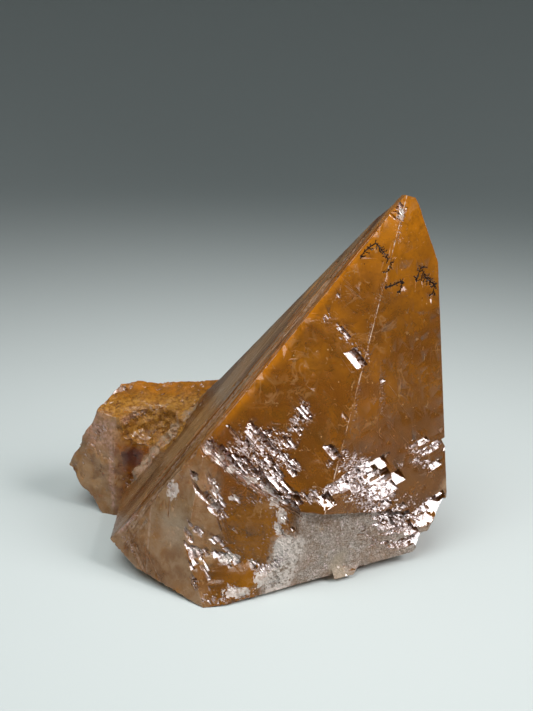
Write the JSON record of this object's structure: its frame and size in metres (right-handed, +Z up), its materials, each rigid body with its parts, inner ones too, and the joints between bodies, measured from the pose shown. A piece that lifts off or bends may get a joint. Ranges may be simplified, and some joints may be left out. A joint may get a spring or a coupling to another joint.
{
  "type": "calcite crystal specimen",
  "caption": "Mineral specimen: a tall leaning dog-tooth calcite point grown together with a smaller broken crystal, chipped along its cleavage, resting on a flat broken base.",
  "frame": {"origin": "the middle of the bottom of the specimen's box, on the surface it rests on", "axes": "+Z up, +X to the right of the side that shows the two large front faces, -Y towards that side"},
  "size_m": [0.1126, 0.0788, 0.1008],
  "materials": {
    "calcite": "glassy to frosted, see-through honey amber with cloudy veils"
  },
  "bodies": {
    "root": {"amber_calcite": "calcite"}
  },
  "joints": []
}
